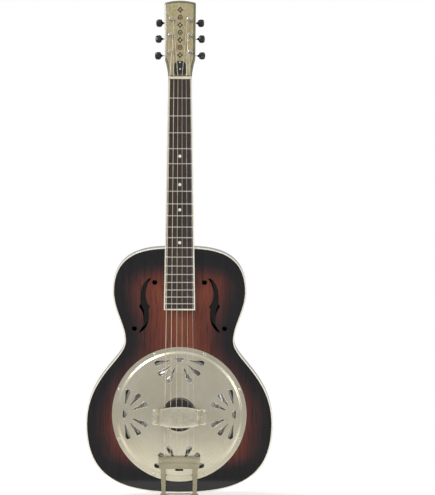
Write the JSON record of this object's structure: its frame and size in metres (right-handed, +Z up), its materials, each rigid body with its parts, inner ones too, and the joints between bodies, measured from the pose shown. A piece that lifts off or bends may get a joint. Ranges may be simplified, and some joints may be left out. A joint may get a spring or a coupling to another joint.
{
  "type": "resonator guitar",
  "caption": "Round-neck resonator guitar: sunburst wooden body with f-holes, a metal cone under a pierced cover plate, a trapeze tailpiece and geared tuners.",
  "frame": {"origin": "on the flat back, straight behind the middle of the cone", "axes": "+Z up the neck towards the headstock, -Y out of the front, +X to the treble side, which is the right of the front view"},
  "size_m": [0.3528, 0.1185, 0.9436],
  "materials": {
    "sunburst_top": "glossy lacquer, sunburst from warm red brown to near black",
    "sunburst_back": "glossy lacquer over mahogany",
    "neck_lacquer": "glossy dark lacquer over mahogany",
    "dark_lacquer": "near black glossy lacquer",
    "cream_binding": "polished cream binding",
    "inner_wood": "raw wood",
    "board_wood": "oiled dark wood",
    "pearloid": "polished mottled pearl plastic",
    "bone": "polished bone",
    "black_plastic": "polished black plastic",
    "button_black": "polished black plastic",
    "maple": "bare maple",
    "stained_maple": "maple stained near black",
    "cone_aluminium": "spun bright aluminium",
    "nickel_cover": "warm satin nickel plate",
    "nickel_parts": "polished nickel plate",
    "steel": "polished steel",
    "string_steel": "plain drawn steel",
    "string_wound": "bronze wound"
  },
  "bodies": {
    "guitar": {"top_plate": "sunburst_top", "back_plate": "sunburst_back", "rim": "dark_lacquer", "top_binding": "cream_binding", "back_binding": "cream_binding", "top_lining": "inner_wood", "back_lining": "inner_wood", "neck_block": "inner_wood", "tail_block": "inner_wood", "neck_stick": "inner_wood", "soundwell": "inner_wood", "resonator_cone": "cone_aluminium", "biscuit": "stained_maple", "saddle": "maple", "coverplate": "nickel_cover", "hand_rest": "nickel_cover", "fretboard": "board_wood", "fretboard_binding": "cream_binding", "neck": "neck_lacquer", "fretboard_wedge": "dark_lacquer", "headstock_veneer": "pearloid", "nut": "bone", "truss_rod": "steel", "truss_rod_cover": "black_plastic", "tailpiece_pin": "steel", "tailpiece_bracket": "nickel_parts", "end_pin": "nickel_parts", "strap_button": "nickel_parts", "tuner_housing_1": "nickel_parts", "tuner_housing_2": "nickel_parts", "tuner_housing_3": "nickel_parts", "tuner_housing_4": "nickel_parts", "tuner_housing_5": "nickel_parts", "tuner_housing_6": "nickel_parts", "tuner_bushing_1": "nickel_parts", "tuner_bushing_2": "nickel_parts", "tuner_bushing_3": "nickel_parts", "tuner_bushing_4": "nickel_parts", "tuner_bushing_5": "nickel_parts", "tuner_bushing_6": "nickel_parts", "string_1": "string_steel", "string_2": "string_steel", "string_3": "string_wound", "string_4": "string_wound", "string_5": "string_wound", "string_6": "string_wound"},
    "tailpiece_frame": {"tailpiece": "nickel_cover"},
    "truss_nut": {"truss_rod_nut": "steel"},
    "button_1": {"tuner_button_1": "button_black"},
    "post_1": {"tuner_post_1": "steel"},
    "button_2": {"tuner_button_2": "button_black"},
    "post_2": {"tuner_post_2": "steel"},
    "button_3": {"tuner_button_3": "button_black"},
    "post_3": {"tuner_post_3": "steel"},
    "button_4": {"tuner_button_4": "button_black"},
    "post_4": {"tuner_post_4": "steel"},
    "button_5": {"tuner_button_5": "button_black"},
    "post_5": {"tuner_post_5": "steel"},
    "button_6": {"tuner_button_6": "button_black"},
    "post_6": {"tuner_post_6": "steel"}
  },
  "joints": [
    {"name": "button_turn_1", "type": "hinge", "parent": "guitar", "child": "button_1", "pos_m": [0.0193, -0.04899, 0.67591], "axis": [1, 0, 0], "continuous": true},
    {"name": "post_turn_1", "type": "hinge", "parent": "guitar", "child": "post_1", "pos_m": [0.0193, -0.06516, 0.68405], "axis": [0, -0.9781, 0.2079], "continuous": true},
    {"name": "button_turn_2", "type": "hinge", "parent": "guitar", "child": "button_2", "pos_m": [0.018, -0.04232, 0.70731], "axis": [1, 0, 0], "continuous": true},
    {"name": "post_turn_2", "type": "hinge", "parent": "guitar", "child": "post_2", "pos_m": [0.018, -0.05848, 0.71545], "axis": [0, -0.9781, 0.2079], "continuous": true},
    {"name": "button_turn_3", "type": "hinge", "parent": "guitar", "child": "button_3", "pos_m": [0.017, -0.03596, 0.73724], "axis": [1, 0, 0], "continuous": true},
    {"name": "post_turn_3", "type": "hinge", "parent": "guitar", "child": "post_3", "pos_m": [0.017, -0.05212, 0.74538], "axis": [0, -0.9781, 0.2079], "continuous": true},
    {"name": "button_turn_4", "type": "hinge", "parent": "guitar", "child": "button_4", "pos_m": [-0.017, -0.03596, 0.73724], "axis": [-1, 0, 0], "continuous": true},
    {"name": "post_turn_4", "type": "hinge", "parent": "guitar", "child": "post_4", "pos_m": [-0.017, -0.05212, 0.74538], "axis": [0, -0.9781, 0.2079], "continuous": true},
    {"name": "button_turn_5", "type": "hinge", "parent": "guitar", "child": "button_5", "pos_m": [-0.018, -0.04232, 0.70731], "axis": [-1, 0, 0], "continuous": true},
    {"name": "post_turn_5", "type": "hinge", "parent": "guitar", "child": "post_5", "pos_m": [-0.018, -0.05848, 0.71545], "axis": [0, -0.9781, 0.2079], "continuous": true},
    {"name": "button_turn_6", "type": "hinge", "parent": "guitar", "child": "button_6", "pos_m": [-0.0193, -0.04899, 0.67591], "axis": [-1, 0, 0], "continuous": true},
    {"name": "post_turn_6", "type": "hinge", "parent": "guitar", "child": "post_6", "pos_m": [-0.0193, -0.06516, 0.68405], "axis": [0, -0.9781, 0.2079], "continuous": true},
    {"name": "tailpiece_hinge", "type": "hinge", "parent": "guitar", "child": "tailpiece_frame", "pos_m": [0, -0.07, -0.1524], "axis": [1, 0, 0], "range_deg": [0, 1.5], "stiffness_Nm_per_rad": 6},
    {"name": "truss_nut_turn", "type": "hinge", "parent": "guitar", "child": "truss_nut", "pos_m": [0, -0.06703, 0.64877], "axis": [0, 0.2079, 0.9781], "range_deg": [-180, 180]}
  ],
  "couplings": [
    {"joint": "post_turn_1", "follows": "button_turn_1", "ratio": -0.071429},
    {"joint": "post_turn_2", "follows": "button_turn_2", "ratio": -0.071429},
    {"joint": "post_turn_3", "follows": "button_turn_3", "ratio": -0.071429},
    {"joint": "post_turn_4", "follows": "button_turn_4", "ratio": 0.071429},
    {"joint": "post_turn_5", "follows": "button_turn_5", "ratio": 0.071429},
    {"joint": "post_turn_6", "follows": "button_turn_6", "ratio": 0.071429}
  ]
}
